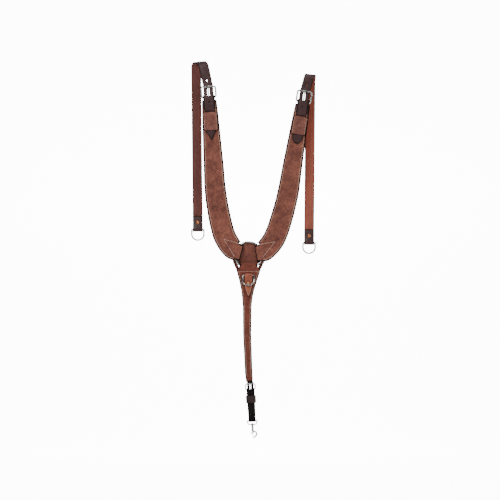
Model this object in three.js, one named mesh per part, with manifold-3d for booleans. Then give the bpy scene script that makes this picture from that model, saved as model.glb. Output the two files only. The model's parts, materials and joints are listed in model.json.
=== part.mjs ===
// Leather breast collar for a saddle horse, hanging by its two shoulder straps.
// Millimetres, +Z up. The front faces -Y. The pieces are drawn round the middle of the
// centre ring, and the finished group is moved so that the hanging pegs are at the origin.

import * as THREE from 'three';
import { mergeVertices } from 'three/addons/utils/BufferGeometryUtils.js';
import Module from 'manifold-3d';

const wasm = await Module();
wasm.setup();

// ---------------------------------------------------------------- driving dimensions

const clearance = 0.3;            // kept between pieces that touch
const leather = 3;                // one layer of collar or belly leather
const layerOffset = 1.65;         // middle of a layer from the middle of a doubled piece

const ringRadius = 33.5;          // centre ring, to the middle of its wire
const ringWire = 2.5;

const collarTilt = 2.75;          // degrees, the collar hangs a little to one side
const collarRise = 408;           // ring centre to buckle centre
const collarSpread = 121.2;       // middle plane to buckle centre
const shoulderWidths = [53, 57, 58, 57, 55, 50.5, 37.5];
const tabAngle = 12;              // degrees, slope of each tab where it folds round the ring
const tabWidth = 40;
const tabReach = 80;              // ring centre to the point of the turned-back tab
const foldPlay = 0.4;             // room between the ring wire and the tab round it

const tugWidth = 25.4;            // one inch strap
const tugThickness = 3.2;
const holePitch = 25.4;
const holeRadius = 2;
const pegRadius = 14;             // inside of the loop that goes over a peg
const tugTipReach = 121;          // buckle centre to the point of the strap

const buckleWire = 2.25;
const buckleWidth = 41;           // outside
const buckleHeight = 31;          // outside
const buckleTilt = 9.2;           // how far the top bar stands in front of the heel bar
const buckleCorner = 4.5;         // middle of the wire
const chapeThickness = 2.5;
const chapeWidth = buckleWidth - 2 * (buckleWire + buckleCorner) + 2.5;
const chapeLeg = 30;              // heel bar to the end of the chape
const keeperTop = 50;             // buckle centre to the keeper's top edge
const keeperHeight = 48;
const keeperWidth = 36;

const deeWire = 2.1;
const deeWidth = 31;              // middle to middle of its legs
const deeDrop = 27;               // bar to the lowest point, middle of the wire

// Heights down the belly strap are taken from the ring's lowest point.
const belowRing = (drop) => -ringRadius - drop;
const bellyPlay = 1.5;            // room round the ring wire in the belly strap's loop
const loopTop = belowRing(-8.5);  // centre of the belly strap's fold round the ring
const liningTop = belowRing(-10.5);
const bulgeEnd = belowRing(3.5);  // from here down the loop closes
const flatStart = belowRing(12);  // from here down the belly strap's layers lie together
const returnDrop = 13.5;          // end of the belly strap's turned-back tab
const liningDrop = 278.5;
const girthDrop = 299.5;          // middle of the girth buckle
const bellyTabHalf = [[-17.5, 17], [-13.5, 18.5], [-8.5, 21.5], [-3.5, 24.5]];
const bellyHalfWidths = [[2.5, 31.5], [14.5, 28], [29.5, 23.5], [44.5, 19.5], [59.5, 16], [75.5, 13.5],
  [95.5, 11.5], [166.5, 10.6], [266.5, 10]];
const liningEndHalf = 9.4;

const tieWidth = 21;
const tieThickness = 2.5;
const tieBar = belowRing(17.5);   // height of the tie-down dee's bar
const tiePoint = tieBar - 55;     // tip of the tie-down tab
const tieRivet = tieBar - 21;
const tieDeeWidth = 29;
const tieDeeDrop = 25;
const tieDeeWire = 1.9;
const tieDeeLean = 10;            // degrees, the dee leans on the tab

const girthTilt = -3.1;           // degrees, the strap end hangs a little to one side
const girthBuckleWidth = 28.5;
const girthBuckleHeight = 19;
const girthWire = 1.6;
const girthCorner = 6.5;          // corner radius of the round-sided buckle
const girthHeelY = 1.2;           // heel bar of the girth buckle
const girthTopY = -7;             // top bar of the girth buckle
const girthChapeWidth = 21;
const girthChapeLayer = 2;
const girthChapeLength = 78;      // heel bar to snap eye bar
const billetWidth = 16;
const billetLength = 83;          // buckle centre to the billet's tip
const girthKeeperHeight = 19;
const girthKeeperWall = 2;
const girthKeeperDrop = 32;       // buckle centre to the keeper's middle

const snapWire = 1.7;
const snapEyeWidth = 24.4;        // middle to middle of the wire
const snapEyeDrop = 11;
const snapEyeCorner = 2.5;
const stemRadius = 1.6;
const barrelRadius = 3.4;
const barrelTop = -13.3;
const barrelBottom = -28;
const hookWire = 2.1;

const rivetRadius = 4.5;

// ---------------------------------------------------------------- helpers

const X = new THREE.Vector3(1, 0, 0);
const Y = new THREE.Vector3(0, 1, 0);
const Z = new THREE.Vector3(0, 0, 1);
const radians = THREE.MathUtils.degToRad;
const point = (x, y) => new THREE.Vector2(x, y);

const finishes = {
  collar: { color: 0x82503f, roughness: 0.85, metalness: 0 },
  strap: { color: 0x5d3d38, roughness: 0.6, metalness: 0 },
  keeper: { color: 0x774d45, roughness: 0.8, metalness: 0 },
  belly: { color: 0x764236, roughness: 0.8, metalness: 0 },
  dark: { color: 0x2b1c1a, roughness: 0.6, metalness: 0 },
  tie: { color: 0x985c49, roughness: 0.8, metalness: 0 },
  nickel: { color: 0xc9cacb, roughness: 0.25, metalness: 1 },
  copper: { color: 0xb4714c, roughness: 0.35, metalness: 1 },
};

// A closed three.js geometry as a solid that can be cut and joined.
function solid(geometry) {
  const bare = geometry.clone();
  bare.deleteAttribute('normal');
  bare.deleteAttribute('uv');
  const merged = mergeVertices(bare, 1e-4);
  return new wasm.Manifold(new wasm.Mesh({
    numProp: 3,
    vertProperties: new Float32Array(merged.attributes.position.array),
    triVerts: new Uint32Array(merged.index.array),
  }));
}

function piece(name, body, finish) {
  const mesh = body.getMesh();
  const geometry = new THREE.BufferGeometry();
  geometry.setAttribute('position', new THREE.BufferAttribute(new Float32Array(mesh.vertProperties), 3));
  geometry.setIndex(new THREE.BufferAttribute(new Uint32Array(mesh.triVerts), 1));
  geometry.computeVertexNormals();
  const result = new THREE.Mesh(geometry, new THREE.MeshStandardMaterial(finishes[finish]));
  result.name = name;
  return result;
}

// An outline in the plane of u and v, extruded along u x v between two distances.
function prism(outline, u, v, from, to) {
  const options = { depth: to - from, bevelEnabled: false };
  const geometry = new THREE.ExtrudeGeometry(new THREE.Shape(outline), options);
  geometry.translate(0, 0, from);
  geometry.applyMatrix4(new THREE.Matrix4().makeBasis(u, v, u.clone().cross(v)));
  return solid(geometry);
}

const frontView = (outline, yFront, yBack) => prism(outline, X, Z, -yBack, -yFront);
const sideView = (outline, xLeft, xRight) => prism(outline, Y, Z, xLeft, xRight);

function block(xs, ys, zs) {
  const geometry = new THREE.BoxGeometry(xs[1] - xs[0], ys[1] - ys[0], zs[1] - zs[0]);
  geometry.translate((xs[0] + xs[1]) / 2, (ys[0] + ys[1]) / 2, (zs[0] + zs[1]) / 2);
  return solid(geometry);
}

function cylinder(radius, length, sides, axis, centre) {
  const geometry = new THREE.CylinderGeometry(radius, radius, length, sides);
  geometry.applyQuaternion(new THREE.Quaternion().setFromUnitVectors(Y, axis));
  geometry.translate(centre.x, centre.y, centre.z);
  return solid(geometry);
}

// A profile of [radius, height] points turned round the Z axis.
function turned(profile, sides) {
  const geometry = new THREE.LatheGeometry(profile.map(([r, z]) => point(r, z)), sides);
  geometry.rotateX(Math.PI / 2);
  return solid(geometry);
}

// The closed outline of a layer whose middle follows the given points.
function band(middle, thickness) {
  const sides = [[], []];
  middle.forEach((here, i) => {
    const before = middle[Math.max(i - 1, 0)];
    const after = middle[Math.min(i + 1, middle.length - 1)];
    const along = after.clone().sub(before).normalize();
    const half = point(-along.y, along.x).multiplyScalar(thickness / 2);
    sides[0].push(here.clone().add(half));
    sides[1].unshift(here.clone().sub(half));
  });
  return [...sides[0], ...sides[1]];
}

function arc(centre, radius, fromDeg, toDeg, steps) {
  return Array.from({ length: steps + 1 }, (_, i) => {
    const angle = radians(THREE.MathUtils.lerp(fromDeg, toDeg, i / steps));
    return point(centre.x + radius * Math.cos(angle), centre.y + radius * Math.sin(angle));
  });
}

// A flat closed loop in the XZ plane, as a curve in space.
class FlatLoop extends THREE.Curve {
  constructor(path) {
    super();
    this.path = path;
  }

  getPoint(t) {
    const at = this.path.getPointAt(t % 1);
    return new THREE.Vector3(at.x, 0, at.y);
  }
}

// Round wire bent into a closed loop. A closed loop has no ends.
function wireLoop(path, radius, steps, sides = 8) {
  return solid(new THREE.TubeGeometry(new FlatLoop(path), steps, radius, sides, true));
}

// Round rod along an open curve.
function rod(curve, radius, steps, sides = 8) {
  const section = new THREE.Shape(arc(point(0, 0), radius, 0, 360 - 360 / sides, sides - 1));
  return solid(new THREE.ExtrudeGeometry(section, { steps, extrudePath: curve, bevelEnabled: false }));
}

function roundedRectangle(width, height, corner) {
  const path = new THREE.Path();
  const x = width / 2;
  const y = height / 2;
  path.moveTo(0, y);
  path.lineTo(x - corner, y);
  path.absarc(x - corner, y - corner, corner, Math.PI / 2, 0, true);
  path.lineTo(x, -y + corner);
  path.absarc(x - corner, -y + corner, corner, 0, -Math.PI / 2, true);
  path.lineTo(-x + corner, -y);
  path.absarc(-x + corner, -y + corner, corner, -Math.PI / 2, -Math.PI, true);
  path.lineTo(-x, y - corner);
  path.absarc(-x + corner, y - corner, corner, Math.PI, Math.PI / 2, true);
  path.lineTo(0, y);
  return path;
}

// A dee hangs from its straight bar at the origin, with a round bow below.
function deeLoop(width, drop, wire) {
  const half = width / 2;
  const corner = wire + 0.8;
  const bow = Math.min(half, drop - corner);
  const path = new THREE.Path();
  path.moveTo(0, 0);
  path.lineTo(half - corner, 0);
  path.absarc(half - corner, -corner, corner, Math.PI / 2, 0, true);
  path.lineTo(half, -drop + bow);
  path.absellipse(0, -drop + bow, half, bow, 0, -Math.PI, true);
  path.lineTo(-half, -corner);
  path.absarc(-half + corner, -corner, corner, Math.PI, Math.PI / 2, true);
  path.lineTo(0, 0);
  return path;
}

// ---------------------------------------------------------------- ring and collar arms

function centreRing() {
  const geometry = new THREE.TorusGeometry(ringRadius, ringWire, 10, 56);
  geometry.rotateX(Math.PI / 2);
  return piece('centre_ring', solid(geometry), 'nickel');
}

const barRise = buckleHeight / 2 - buckleWire;
const tongueCurl = buckleWire + clearance + 1.6;
const armTopDrop = barRise + tongueCurl + 3;

const foldInner = ringWire + foldPlay;
const armFrontY = -(foldInner + leather / 2);
const armBackY = layerOffset + leather + clearance;
const armFoldRadius = (armBackY - armFrontY) / 2;
const armFoldY = (armBackY + armFrontY) / 2;
const tabCorner = tabWidth / 2 + 1.5;
const armFoldAt = Math.sqrt((ringRadius - ringWire) ** 2 - tabCorner ** 2)
  + armFoldRadius - leather / 2 - foldPlay;

function tabAxes(side) {
  const slope = radians(tabAngle);
  const outward = new THREE.Vector3(side * Math.cos(slope), 0, Math.sin(slope));
  return { outward, along: outward.clone().cross(Y) };
}

// The middle line of an arm, from inside the ring up to the buckle.
function armLine(side) {
  const up = (x, z) => point(side * x * collarSpread, z * collarRise);
  const top = point(side * 0.977 * collarSpread, collarRise - armTopDrop);
  const shape = [up(0.3, 0.0257), up(0.404, 0.0581), up(0.536, 0.1225), up(0.652, 0.238),
    up(0.759, 0.392), up(0.833, 0.586), top];
  const inRing = (x, z) => point(side * x * ringRadius, z * ringRadius);
  const fold = [inRing(0.24, 0.07), inRing(0.6, 0.15), inRing(0.81, 0.206)];
  return new THREE.SplineCurve([...fold, ...shape]);
}

function armWidthAt(t) {
  const widths = [tabWidth - 2, tabWidth, tabWidth + 1, ...shoulderWidths];
  const at = t * (widths.length - 1);
  const low = Math.min(Math.floor(at), widths.length - 2);
  return THREE.MathUtils.lerp(widths[low], widths[low + 1], at - low);
}

function armOutline(side) {
  const line = armLine(side);
  const steps = 32;
  const outer = [];
  const inner = [];
  for (let i = 0; i <= steps; i += 1) {
    const at = line.getPoint(i / steps);
    const along = line.getTangent(i / steps);
    const across = point(along.y, -along.x).multiplyScalar(armWidthAt(i / steps) / 2);
    outer.push(at.clone().add(across));
    inner.unshift(at.clone().sub(across));
  }
  return [...outer, ...inner];
}

// Cuts a front view to a layer's side profile, both given for one side's tab.
function shapedByTab(outline, profile, side) {
  const { outward } = tabAxes(side);
  const reach = 2 * collarRise;
  return frontView(outline, -30, 30).intersect(prism(profile, outward, Y, -reach, reach));
}

function armFace(side) {
  const centre = point(armFoldAt, armFoldY);
  const front = band([
    point(2 * collarRise, -layerOffset),
    point(60, -layerOffset),
    point(ringRadius + ringWire + 6, armFrontY),
    ...arc(centre, armFoldRadius, 270, 165, 9),
  ], leather);
  const back = band([
    ...arc(centre, armFoldRadius, 195, 90, 9),
    point(2 * tabReach, armBackY),
  ], leather);
  const { outward, along } = tabAxes(side);
  const corner = (u, v) => point(outward.x * u + along.x * v, outward.z * u + along.z * v);
  const half = tabWidth / 2;
  const turnedBack = [corner(10, -half), corner(30, -half), corner(tabReach, side * 26), corner(30, half),
    corner(10, half)];
  // Inside the ring the arm is no wider than the tab's opening, whatever the sweep of the arm.
  const outside = [-1, 1].map((edge) => frontView([corner(-ringRadius, edge * tabCorner),
    corner(armFoldAt, edge * tabCorner), corner(armFoldAt, edge * ringRadius * 2),
    corner(-ringRadius, edge * ringRadius * 2)], -30, 30));
  const face = shapedByTab(armOutline(side), front, side).subtract(outside[0]).subtract(outside[1]);
  return face.add(shapedByTab(turnedBack, back, side));
}

function armLining(side) {
  const { outward } = tabAxes(side);
  const start = ringRadius + ringWire + 8;
  const beyond = [point(start, 0), point(2 * collarRise, 0), point(2 * collarRise, leather * 2),
    point(start, leather * 2)];
  const layer = frontView(armOutline(side), clearance / 2, clearance / 2 + leather);
  return layer.intersect(prism(beyond, outward, Y, -2 * collarRise, 2 * collarRise));
}

// The leather behind the ring, sewn to the backs of the two tabs.
const safeThickness = 2.5;
const safeFront = armBackY + leather / 2 + 0.95;
function ringSafe() {
  const low = belowRing(-8.5);
  const left = [point(-ringRadius - 7.5, low + 13), point(-ringRadius - 5.3, low + 3), point(-ringRadius + 6.5, low)];
  const right = left.map((corner) => point(-corner.x, corner.y)).reverse();
  const outline = [...left, ...right, ...arc(point(0, 0), ringRadius, 8, 172, 18)];
  return piece('ring_safe', frontView(outline, safeFront, safeFront + safeThickness), 'collar');
}

// ---------------------------------------------------------------- shoulder buckles

// Everything from here to the tug strap is drawn round the buckle's middle, with the
// strap running up the Z axis.
const chapeFront = -(clearance / 2 + leather + clearance + chapeThickness);
const tugAtHeel = chapeFront - clearance - tugThickness / 2;
const tugAtTop = -buckleTilt + buckleWire + clearance + tugThickness / 2;
const tugOnArm = -(clearance / 2 + leather + clearance + tugThickness / 2);

function buckleFrame(name) {
  const length = Math.hypot(2 * barRise, buckleTilt);
  const path = roundedRectangle(buckleWidth - 2 * buckleWire, length, buckleCorner);
  const lean = Math.asin(buckleTilt / length);
  const frame = wireLoop(path, buckleWire, 44).rotate([THREE.MathUtils.radToDeg(lean), 0, 0]);
  return piece(name, frame.translate([0, -buckleTilt / 2, 0]), 'nickel');
}

function buckleChape(name) {
  const radius = -chapeFront - chapeThickness / 2;
  const profile = band([
    point(-radius, -barRise - chapeLeg),
    ...arc(point(0, -barRise), radius, 180, 0, 12),
    point(radius, -barRise - chapeLeg),
  ], chapeThickness);
  const slot = block([-3.2, 3.2], [chapeFront - 1, tongueCurl + clearance], [-barRise - 5.5, -barRise + 8]);
  const half = chapeWidth / 2;
  return piece(name, sideView(profile, -half, half).subtract(slot), 'dark');
}

const tongueRadius = 1.5;
const tongueRest = 1.25 * (buckleWire + clearance + tongueRadius);
const tongueTip = new THREE.Vector3(0, -buckleTilt - tongueRest, barRise + 1.5);

function buckleTongue(name) {
  const heel = new THREE.Vector3(0, 0, -barRise);
  const curl = cylinder(tongueCurl, 4.6, 16, X, heel);
  const root = new THREE.Vector3(0, -2.4, -barRise + 2.6);
  const blade = rod(new THREE.LineCurve3(root, tongueTip), tongueRadius, 1);
  const bar = cylinder(buckleWire + clearance, 20, 16, X, heel);
  return piece(name, curl.add(blade).subtract(bar), 'nickel');
}

function strapKeeper(name) {
  const half = keeperWidth / 2;
  const low = -keeperTop - keeperHeight;
  const outline = [point(-half, low), point(half, low), point(half, -keeperTop - 2),
    point(half * 0.5, -keeperTop), point(-half * 0.5, -keeperTop), point(-half, -keeperTop - 2)];
  const back = -(clearance / 2 + leather + clearance);
  const inside = tugOnArm - tugThickness / 2 - clearance;
  const channel = block([-tugWidth / 2 - 0.5, tugWidth / 2 + 0.5], [inside, 0], [low - 5, -keeperTop + 5]);
  return piece(name, frontView(outline, inside - 2.4, back).subtract(channel), 'keeper');
}

// ---------------------------------------------------------------- tug straps

const smooth = (t) => t * t * (3 - 2 * t);

// A strap as a row of stations. Each has its middle, its sideways direction and its width.
function strapSolid(stations, thickness) {
  const corners = [];
  stations.forEach((here, i) => {
    const before = stations[Math.max(i - 1, 0)].middle;
    const after = stations[Math.min(i + 1, stations.length - 1)].middle;
    const along = after.clone().sub(before).normalize();
    const out = along.clone().cross(here.across).normalize();
    [[-1, -1], [1, -1], [1, 1], [-1, 1]].forEach(([a, b]) => {
      const corner = here.middle.clone().addScaledVector(here.across, a * here.width / 2);
      corners.push(...corner.addScaledVector(out, b * thickness / 2).toArray());
    });
  });
  const faces = [0, 2, 1, 0, 3, 2];
  for (let s = 0; s < stations.length - 1; s += 1) {
    for (let k = 0; k < 4; k += 1) {
      const a = 4 * s + k;
      const b = 4 * s + ((k + 1) % 4);
      faces.push(a, b, a + 4, b, b + 4, a + 4);
    }
  }
  const last = 4 * (stations.length - 1);
  faces.push(last, last + 1, last + 2, last, last + 2, last + 3);
  const geometry = new THREE.BufferGeometry();
  geometry.setAttribute('position', new THREE.BufferAttribute(new Float32Array(corners), 3));
  geometry.setIndex(faces);
  return solid(geometry);
}

const chapeEnd = -barRise - chapeLeg;

// Depth of the strap's middle at a height above or below the buckle.
function tugDepth(z) {
  const ease = (from, to, zFrom, zTo) => THREE.MathUtils.lerp(from, to,
    smooth(THREE.MathUtils.clamp((z - zFrom) / (zTo - zFrom), 0, 1)));
  if (z > -barRise + 2) return ease(tugAtHeel, tugAtTop, -barRise + 4, barRise - 2);
  return ease(tugAtHeel, tugOnArm, chapeEnd - 1.2, -keeperTop + 0.8);
}

function tugStrap(side) {
  const stations = [];
  const add = (x, y, z, across, width = tugWidth) => {
    stations.push({ middle: new THREE.Vector3(x, y, z), across, width });
  };
  const level = new THREE.Vector3(1, 0, 0);
  const tipShare = [0, 0.2, 0.45, 0.75, 1];
  tipShare.forEach((share) => {
    const z = -tugTipReach + side.tipLength * share;
    const round = Math.sqrt(1 - (1 - share) ** 2);
    const width = tugWidth * Math.max(0.1, THREE.MathUtils.lerp(share, round, side.tipRoundness));
    add(0, tugDepth(z), z, level, width);
  });
  const ramp = [0, 0.3, 0.7, 1].map((t) => THREE.MathUtils.lerp(-keeperTop + 0.8, chapeEnd - 1.2, t));
  [-55, ...ramp, -30, -14, -10, -5, 0, 5, 10, 14].forEach((z) => add(0, tugDepth(z), z, level));
  const lean = radians(side.lean);
  const uphill = new THREE.Vector3(Math.sin(lean), 0, Math.cos(lean));
  const across = new THREE.Vector3(Math.cos(lean), 0, -Math.sin(lean));
  const bend = pegRadius + tugThickness / 2;
  const straight = side.pegRise - bend;
  [0.25, 0.6, 1].forEach((share) => {
    add(uphill.x * straight * share, tugAtTop, 14 + (uphill.z * straight - 14) * share, across);
  });
  const bendStart = stations.at(-1).middle;
  const plumb = new THREE.Vector3(Math.cos(side.plumb), 0, Math.sin(side.plumb));
  const down = new THREE.Vector3(Math.sin(side.plumb), 0, -Math.cos(side.plumb));
  const steps = 12;
  for (let i = 1; i <= steps; i += 1) {
    const angle = Math.PI * i / steps;
    const share = smooth(i / steps);
    const drift = uphill.clone().multiplyScalar(bend * Math.sin(angle));
    const shift = side.backShift * share;
    const sideways = across.clone().lerp(plumb, share).normalize();
    add(bendStart.x + drift.x + shift, bendStart.y + bend * (1 - Math.cos(angle)), bendStart.z + drift.z, sideways);
  }
  const backTop = stations.at(-1).middle;
  const foldRadius = deeWire + clearance + tugThickness / 2;
  const at = (distance, depth) => {
    const middle = backTop.clone().addScaledVector(down, distance);
    add(middle.x, backTop.y - depth, middle.z, plumb);
  };
  at(side.backLength, 0);
  for (let i = 1; i <= 8; i += 1) {
    const angle = Math.PI * i / 8;
    at(side.backLength + foldRadius * Math.sin(angle), foldRadius * (1 - Math.cos(angle)));
  }
  const settled = tugThickness + clearance;
  at(side.backLength - 5, foldRadius * 1.85);
  at(side.backLength - 12, settled);
  at(side.backLength - side.turnBack, settled);
  const peg = bendStart.clone().setY(bendStart.y + bend);
  return { stations, backTop, down, foldRadius, peg };
}

function tugHoles(side) {
  const slot = block([-2.5, 2.5], [-20, 5], [-barRise + 3.5, barRise - 4.5]);
  const punch = (x, z) => cylinder(holeRadius, 12, 10, Y, new THREE.Vector3(x, -6, z));
  let cut = slot;
  [-1, -2, -3].forEach((n) => {
    cut = cut.add(punch(0, n * holePitch));
  });
  const lean = radians(side.lean);
  return cut.add(punch(Math.sin(lean) * holePitch * 0.9, Math.cos(lean) * holePitch * 1.15));
}

// Where the rivet and the dee sit on the strap's lower end.
function tugEnd(strap, side) {
  const bar = strap.backTop.clone().addScaledVector(strap.down, side.backLength);
  bar.y -= strap.foldRadius;
  const rivet = strap.backTop.clone().addScaledVector(strap.down, side.backLength - side.rivetRise);
  rivet.y -= tugThickness / 2 + clearance / 2;
  return { bar, rivet };
}

const rivetShank = 1.9;
const rivetHead = 1.3;

// A rivet through a stack of leather. Its domed head is in front, its washer behind.
function rivetSolid(stack) {
  const front = stack / 2 + clearance;
  const profile = [[0, -front - 1], [rivetRadius * 0.8, -front - 1], [rivetRadius * 0.8, -front],
    [rivetShank, -front], [rivetShank, front], [rivetRadius, front], [rivetRadius * 0.85, front + 0.6],
    [rivetRadius * 0.4, front + rivetHead], [0, front + rivetHead]];
  return turned(profile, 16).rotate([90, 0, 0]);
}

// ---------------------------------------------------------------- belly strap

const bellyFrontY = -(ringWire + bellyPlay + leather / 2);

// The middle line of the belly strap wanders a little as it hangs.
const bellyLine = new THREE.SplineCurve([[0, -33.5], [-0.4, 16.5], [-3.1, 76.5], [-3.6, 146.5], [-3.2, 207.5],
  [-0.8, 251.5], [2.3, 283.5]].map(([x, drop]) => point(x, belowRing(drop))));

// How far the line has wandered at a height, found by halving.
function bellyX(z) {
  let low = 0;
  let high = 1;
  for (let i = 0; i < 30; i += 1) {
    const middle = (low + high) / 2;
    if (bellyLine.getPoint(middle).y > z) low = middle; else high = middle;
  }
  return bellyLine.getPoint(low).x;
}

// Both edges of the belly strap, from rows of [drop below the ring, half width].
function bellyEdges(rows) {
  const edge = (sign) => rows.map(([drop, half]) => {
    const z = belowRing(drop);
    return point(bellyX(z) + sign * half, z);
  });
  return [...edge(-1), ...edge(1).reverse()];
}

const bellyBackProfile = (from) => band([point(-bellyFrontY, from), point(-bellyFrontY, bulgeEnd),
  point(layerOffset, flatStart), point(layerOffset, -900)], leather);

// Face of the belly strap: down the front, round the ring and back under itself.
function bellyFace(billet) {
  const fold = arc(point(0, loopTop), -bellyFrontY, 180, 75, 9);
  const front = band([point(-layerOffset, -900), point(-layerOffset, flatStart), point(bellyFrontY, bulgeEnd),
    ...fold], leather);
  const behind = arc(point(0, loopTop), -bellyFrontY, 105, 0, 9);
  const back = band([...behind, point(-bellyFrontY, bulgeEnd), point(layerOffset, flatStart),
    point(layerOffset, belowRing(returnDrop + 5))], leather);
  const shown = [...bellyTabHalf, ...bellyHalfWidths, [liningDrop, billetWidth / 2 + 1.2],
    [girthDrop - 12, billetWidth / 2 + 0.5]];
  const hidden = [...bellyTabHalf, [returnDrop, 22]];
  const face = frontView(bellyEdges(shown), -12, 12).intersect(sideView(front, -60, 60));
  const tab = frontView(bellyEdges(hidden), -12, 12).intersect(sideView(back, -60, 60));
  return piece('belly_strap_face', face.add(tab).add(billet), 'belly');
}

function bellyLining() {
  const edge = ringRadius + ringWire + 0.8;
  const notch = bellyTabHalf.at(-1)[1] + 0.5;
  const notchAngle = THREE.MathUtils.radToDeg(Math.acos(notch / edge));
  const earAngle = THREE.MathUtils.radToDeg(Math.asin(-liningTop / edge));
  const ear = (sign) => {
    const rim = arc(point(0, 0), edge, -notchAngle, -earAngle, 4).map((p) => point(sign * p.x, p.y));
    return [point(sign * notch, belowRing(returnDrop) - clearance), ...rim, point(sign * (edge + 1), liningTop)];
  };
  const down = bellyEdges([...bellyHalfWidths, [liningDrop, liningEndHalf]]);
  const outline = [...ear(-1), ...down, ...ear(1).reverse()];
  const layer = sideView(bellyBackProfile(-10), -60, 60);
  return piece('belly_strap_lining', frontView(outline, -12, 12).intersect(layer), 'belly');
}

// ---------------------------------------------------------------- tie-down dee

const tieBack = -(clearance / 2 + leather + clearance);
const tieStack = 2 * tieThickness;
const tieBarY = tieBack - tieThickness - clearance - tieDeeWire;
const tieX = bellyX(tieBar);

function tieDownTab() {
  const half = tieWidth / 2;
  const outline = [point(-half, tieBar + 12), point(-half, tieBar - 26), point(-half * 0.7, tiePoint + 15),
    point(-1, tiePoint), point(1, tiePoint), point(half * 0.7, tiePoint + 15), point(half, tieBar - 26),
    point(half, tieBar + 12)];
  const eye = tieDeeWire + clearance + tieThickness;
  const profile = [point(tieBack, tiePoint - 5), point(tieBack, tieBar - 2),
    ...arc(point(tieBarY, tieBar), eye, 0, 200, 14), point(tieBack - tieStack, tieBar - 9),
    point(tieBack - tieStack, tiePoint - 5)];
  const bore = cylinder(tieDeeWire + clearance, 40, 12, X, new THREE.Vector3(0, tieBarY, tieBar));
  const hole = cylinder(rivetShank + clearance, 20, 10, Y, new THREE.Vector3(0, tieBack, tieRivet));
  const tab = frontView(outline, -20, 0).intersect(sideView(profile, -half - 1, half + 1));
  return piece('tie_down_tab', tab.subtract(bore).subtract(hole), 'tie');
}

function tieDownRivet() {
  const front = tieStack + clearance;
  const profile = [[0, clearance], [rivetShank, clearance], [rivetShank, front], [rivetRadius, front],
    [rivetRadius * 0.85, front + 0.6], [rivetRadius * 0.4, front + rivetHead], [0, front + rivetHead]];
  const rivet = turned(profile, 16).rotate([90, 0, 0]);
  return piece('tie_down_rivet', rivet.translate([0, tieBack, tieRivet]), 'copper');
}

function tieDownDee() {
  const dee = wireLoop(deeLoop(tieDeeWidth, tieDeeDrop, tieDeeWire), tieDeeWire, 36);
  const mesh = piece('tie_down_dee', dee, 'nickel');
  mesh.position.set(0, tieBarY, tieBar);
  mesh.rotation.x = radians(-tieDeeLean);
  return mesh;
}

// ---------------------------------------------------------------- girth end

// Drawn round the girth buckle's middle, with the strap running down the Z axis.
const girthJoin = point(4.4, belowRing(girthDrop));
const girthBarRise = girthBuckleHeight / 2 - girthWire;
const girthEyeBar = -girthBarRise - girthChapeLength;
const chapeStack = 2 * girthChapeLayer + clearance;
const chapeFace = girthHeelY - chapeStack / 2;
const chapeEye = girthWire + clearance + girthChapeLayer;
const billetOver = girthHeelY - girthWire - girthChapeLayer - 2 * clearance - leather / 2;
const billetFlat = chapeFace - clearance - leather / 2;

function billetSolid() {
  const overEye = girthHeelY - chapeEye - clearance - leather / 2;
  const profile = band([point(-layerOffset, 13), point(-layerOffset - 0.15, 8), point(-layerOffset - 0.9, 4),
    point(billetOver, -4), point(billetOver, -12), point(billetFlat, -22), point(billetFlat, 10 - billetLength),
    point(overEye, 3.5 - billetLength), point(overEye, -billetLength)], leather);
  const half = billetWidth / 2;
  const tip = arc(point(0, -billetLength + half * 0.9), half, -180, 0, 10);
  const outline = [point(-half - 0.5, 13), ...tip, point(half + 0.5, 13)];
  const strap = frontView(outline, -15, 5).intersect(sideView(profile, -20, 20));
  const slot = block([-1.8, 1.8], [-15, 5], [-girthBarRise + 1.2, girthBarRise - 2.5]);
  const holes = [-27, -74].map((z) => cylinder(1.4, 20, 10, Y, new THREE.Vector3(0, 0, z)));
  return holes.reduce((cut, hole) => cut.subtract(hole), strap.subtract(slot));
}

function girthFrame(wire) {
  const length = Math.hypot(2 * girthBarRise, girthHeelY - girthTopY);
  const path = roundedRectangle(girthBuckleWidth - 2 * girthWire, length, girthCorner);
  const lean = THREE.MathUtils.radToDeg(Math.asin((girthHeelY - girthTopY) / length));
  return wireLoop(path, wire, 44).rotate([lean, 0, 0]).translate([0, (girthHeelY + girthTopY) / 2, 0]);
}

function girthBuckleTongue() {
  const heel = new THREE.Vector3(0, girthHeelY, -girthBarRise);
  const curl = cylinder(girthWire + clearance + 1.3, 3.2, 14, X, heel);
  const root = new THREE.Vector3(0, girthHeelY - 2, -girthBarRise + 1.6);
  const tip = new THREE.Vector3(0, girthTopY - 1.3 * (girthWire + clearance + 1.1), girthBarRise + 1);
  const blade = rod(new THREE.LineCurve3(root, tip), 1.1, 1);
  const bar = cylinder(girthWire + clearance, 20, 14, X, heel);
  return piece('girth_buckle_tongue', curl.add(blade).subtract(bar), 'nickel');
}

function girthChape() {
  const half = girthChapeWidth / 2;
  const lowHalf = snapEyeWidth / 2 - snapEyeCorner - 0.4;
  const slab = block([-half, half], [chapeFace, chapeFace + chapeStack], [girthEyeBar, -girthBarRise]);
  const ends = [-girthBarRise, girthEyeBar].map((z) => new THREE.Vector3(0, girthHeelY, z));
  const joined = ends.reduce((all, end) => all.add(cylinder(chapeEye, 2 * half, 20, X, end)), slab);
  const outline = [point(-half, 10), point(-half, -30), point(-lowHalf, girthEyeBar + 6),
    point(-lowHalf, girthEyeBar - 10), point(lowHalf, girthEyeBar - 10), point(lowHalf, girthEyeBar + 6),
    point(half, -30), point(half, 10)];
  const eyeBore = cylinder(snapWire + clearance, 60, 16, X, ends[1]);
  const slot = block([-2.4, 2.4], [-9, 9], [-girthBarRise - 3.9, -girthBarRise + 6]);
  const chape = joined.intersect(frontView(outline, -20, 20)).subtract(eyeBore).subtract(slot);
  return piece('girth_chape', chape.subtract(girthFrame(girthWire + clearance)), 'dark');
}

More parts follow.
